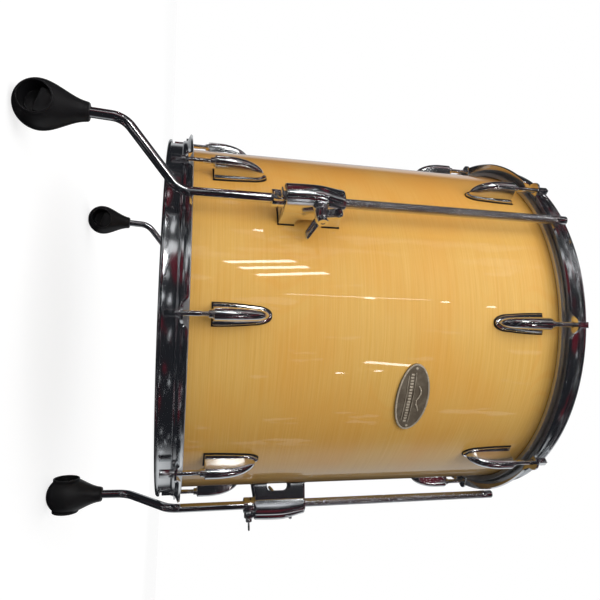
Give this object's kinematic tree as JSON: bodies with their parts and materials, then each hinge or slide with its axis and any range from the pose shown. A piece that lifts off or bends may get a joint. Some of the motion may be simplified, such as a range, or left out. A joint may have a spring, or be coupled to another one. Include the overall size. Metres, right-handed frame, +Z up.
{
  "type": "floor tom drum",
  "caption": "Floor tom with a lacquered wooden shell, a head under a chrome hoop at each end, tension rods in bullet lugs, and bent legs with rubber feet in clamp brackets.",
  "frame": {"origin": "middle of the whole object's outer box, on the floor; the drum's own axis stands 10.1 mm towards -X and 2.6 mm towards -Y of it", "axes": "+Z up along the drum's axis from the resonant head to the batter head; -Y faces the side of the badge, which is turned 22.5 degrees from it towards +X"},
  "size_m": [0.4726, 0.467, 0.5596],
  "materials": {
    "maple": "clear high-gloss lacquer over natural maple, grain running round the shell",
    "coated_film": "white sprayed coating on polyester film",
    "clear_film": "clear glossy polyester film",
    "chrome": "polished chrome plate",
    "aluminium": "plain rolled channel",
    "bronze": "dark antique plate with a brighter raised rim",
    "rubber": "satin moulded rubber"
  },
  "bodies": {
    "drum": {"shell": "maple", "vent_grommet": "chrome", "batter_head": "coated_film", "batter_flesh_hoop": "aluminium", "batter_hoop": "chrome", "batter_lug_1": "chrome", "batter_lug_2": "chrome", "batter_lug_3": "chrome", "batter_lug_4": "chrome", "batter_lug_5": "chrome", "batter_lug_6": "chrome", "batter_lug_7": "chrome", "batter_lug_8": "chrome", "resonant_head": "clear_film", "resonant_flesh_hoop": "aluminium", "resonant_hoop": "chrome", "resonant_lug_1": "chrome", "resonant_lug_2": "chrome", "resonant_lug_3": "chrome", "resonant_lug_4": "chrome", "resonant_lug_5": "chrome", "resonant_lug_6": "chrome", "resonant_lug_7": "chrome", "resonant_lug_8": "chrome", "badge": "bronze", "leg_bracket_1": "chrome", "leg_bracket_2": "chrome", "leg_bracket_3": "chrome"},
    "batter_tension_rod_1": {"batter_tension_rod_1": "chrome"},
    "batter_tension_rod_2": {"batter_tension_rod_2": "chrome"},
    "batter_tension_rod_3": {"batter_tension_rod_3": "chrome"},
    "batter_tension_rod_4": {"batter_tension_rod_4": "chrome"},
    "batter_tension_rod_5": {"batter_tension_rod_5": "chrome"},
    "batter_tension_rod_6": {"batter_tension_rod_6": "chrome"},
    "batter_tension_rod_7": {"batter_tension_rod_7": "chrome"},
    "batter_tension_rod_8": {"batter_tension_rod_8": "chrome"},
    "resonant_tension_rod_1": {"resonant_tension_rod_1": "chrome"},
    "resonant_tension_rod_2": {"resonant_tension_rod_2": "chrome"},
    "resonant_tension_rod_3": {"resonant_tension_rod_3": "chrome"},
    "resonant_tension_rod_4": {"resonant_tension_rod_4": "chrome"},
    "resonant_tension_rod_5": {"resonant_tension_rod_5": "chrome"},
    "resonant_tension_rod_6": {"resonant_tension_rod_6": "chrome"},
    "resonant_tension_rod_7": {"resonant_tension_rod_7": "chrome"},
    "resonant_tension_rod_8": {"resonant_tension_rod_8": "chrome"},
    "stop_clamp_1": {"stop_clamp_1": "chrome"},
    "leg_1": {"leg_1": "chrome", "foot_1": "rubber"},
    "stop_screw_1": {"stop_screw_1": "chrome"},
    "wing_bolt_1": {"wing_bolt_1": "chrome"},
    "stop_clamp_2": {"stop_clamp_2": "chrome"},
    "leg_2": {"leg_2": "chrome", "foot_2": "rubber"},
    "stop_screw_2": {"stop_screw_2": "chrome"},
    "wing_bolt_2": {"wing_bolt_2": "chrome"},
    "stop_clamp_3": {"stop_clamp_3": "chrome"},
    "leg_3": {"leg_3": "chrome", "foot_3": "rubber"},
    "stop_screw_3": {"stop_screw_3": "chrome"},
    "wing_bolt_3": {"wing_bolt_3": "chrome"}
  },
  "joints": [
    {"name": "batter_tension_rod_1_turn", "type": "hinge", "parent": "drum", "child": "batter_tension_rod_1", "pos_m": [0.20751, -0.00261, 0.53937], "axis": [0, 0, 1], "continuous": true},
    {"name": "batter_tension_rod_2_turn", "type": "hinge", "parent": "drum", "child": "batter_tension_rod_2", "pos_m": [0.14378, 0.15126, 0.53937], "axis": [0, 0, 1], "continuous": true},
    {"name": "batter_tension_rod_3_turn", "type": "hinge", "parent": "drum", "child": "batter_tension_rod_3", "pos_m": [-0.01009, 0.21499, 0.53937], "axis": [0, 0, 1], "continuous": true},
    {"name": "batter_tension_rod_4_turn", "type": "hinge", "parent": "drum", "child": "batter_tension_rod_4", "pos_m": [-0.16395, 0.15126, 0.53937], "axis": [0, 0, 1], "continuous": true},
    {"name": "batter_tension_rod_5_turn", "type": "hinge", "parent": "drum", "child": "batter_tension_rod_5", "pos_m": [-0.22769, -0.00261, 0.53937], "axis": [0, 0, 1], "continuous": true},
    {"name": "batter_tension_rod_6_turn", "type": "hinge", "parent": "drum", "child": "batter_tension_rod_6", "pos_m": [-0.16395, -0.15648, 0.53937], "axis": [0, 0, 1], "continuous": true},
    {"name": "batter_tension_rod_7_turn", "type": "hinge", "parent": "drum", "child": "batter_tension_rod_7", "pos_m": [-0.01009, -0.22021, 0.53937], "axis": [0, 0, 1], "continuous": true},
    {"name": "batter_tension_rod_8_turn", "type": "hinge", "parent": "drum", "child": "batter_tension_rod_8", "pos_m": [0.14378, -0.15648, 0.53937], "axis": [0, 0, 1], "continuous": true},
    {"name": "resonant_tension_rod_1_turn", "type": "hinge", "parent": "drum", "child": "resonant_tension_rod_1", "pos_m": [0.20751, -0.00261, 0.14737], "axis": [0, 0, -1], "continuous": true},
    {"name": "resonant_tension_rod_2_turn", "type": "hinge", "parent": "drum", "child": "resonant_tension_rod_2", "pos_m": [0.14378, 0.15126, 0.14737], "axis": [0, 0, -1], "continuous": true},
    {"name": "resonant_tension_rod_3_turn", "type": "hinge", "parent": "drum", "child": "resonant_tension_rod_3", "pos_m": [-0.01009, 0.21499, 0.14737], "axis": [0, 0, -1], "continuous": true},
    {"name": "resonant_tension_rod_4_turn", "type": "hinge", "parent": "drum", "child": "resonant_tension_rod_4", "pos_m": [-0.16395, 0.15126, 0.14737], "axis": [0, 0, -1], "continuous": true},
    {"name": "resonant_tension_rod_5_turn", "type": "hinge", "parent": "drum", "child": "resonant_tension_rod_5", "pos_m": [-0.22769, -0.00261, 0.14737], "axis": [0, 0, -1], "continuous": true},
    {"name": "resonant_tension_rod_6_turn", "type": "hinge", "parent": "drum", "child": "resonant_tension_rod_6", "pos_m": [-0.16395, -0.15648, 0.14737], "axis": [0, 0, -1], "continuous": true},
    {"name": "resonant_tension_rod_7_turn", "type": "hinge", "parent": "drum", "child": "resonant_tension_rod_7", "pos_m": [-0.01009, -0.22021, 0.14737], "axis": [0, 0, -1], "continuous": true},
    {"name": "resonant_tension_rod_8_turn", "type": "hinge", "parent": "drum", "child": "resonant_tension_rod_8", "pos_m": [0.14378, -0.15648, 0.14737], "axis": [0, 0, -1], "continuous": true},
    {"name": "leg_1_swivel", "type": "hinge", "parent": "drum", "child": "stop_clamp_1", "pos_m": [-0.12133, -0.19922, 0.24337], "axis": [0, 0, 1], "range_deg": [-54.5, 102]},
    {"name": "leg_1_height", "type": "slide", "parent": "stop_clamp_1", "child": "leg_1", "axis": [0, 0, -1], "range_m": [0, 0.235]},
    {"name": "wing_bolt_1_turn", "type": "hinge", "parent": "drum", "child": "wing_bolt_1", "pos_m": [-0.11088, -0.20513, 0.27437], "axis": [0.8704, -0.4924, 0], "continuous": true},
    {"name": "stop_screw_1_turn", "type": "hinge", "parent": "stop_clamp_1", "child": "stop_screw_1", "pos_m": [-0.12169, -0.21322, 0.23247], "axis": [-0.0262, -0.9997, 0], "continuous": true},
    {"name": "leg_2_swivel", "type": "hinge", "parent": "drum", "child": "stop_clamp_2", "pos_m": [0.2076, -0.06298, 0.24337], "axis": [0, 0, 1], "range_deg": [-130, 9.5]},
    {"name": "leg_2_height", "type": "slide", "parent": "stop_clamp_2", "child": "leg_2", "axis": [0, 0, -1], "range_m": [0, 0.235]},
    {"name": "wing_bolt_2_turn", "type": "hinge", "parent": "drum", "child": "wing_bolt_2", "pos_m": [0.2108, -0.05142, 0.27437], "axis": [0.2672, 0.9636, 0], "continuous": true},
    {"name": "stop_screw_2_turn", "type": "hinge", "parent": "stop_clamp_2", "child": "stop_screw_2", "pos_m": [0.22109, -0.06672, 0.23247], "axis": [0.9636, -0.2672, 0], "continuous": true},
    {"name": "leg_3_swivel", "type": "hinge", "parent": "drum", "child": "stop_clamp_3", "pos_m": [-0.09654, 0.20609, 0.24337], "axis": [0, 0, 1], "range_deg": [-130, 47.5]},
    {"name": "leg_3_height", "type": "slide", "parent": "stop_clamp_3", "child": "leg_3", "axis": [0, 0, -1], "range_m": [0, 0.235]},
    {"name": "wing_bolt_3_turn", "type": "hinge", "parent": "drum", "child": "wing_bolt_3", "pos_m": [-0.10762, 0.2015, 0.27437], "axis": [-0.9239, -0.3827, 0], "continuous": true},
    {"name": "stop_screw_3_turn", "type": "hinge", "parent": "stop_clamp_3", "child": "stop_screw_3", "pos_m": [-0.10189, 0.21903, 0.23247], "axis": [-0.3827, 0.9239, 0], "continuous": true}
  ]
}
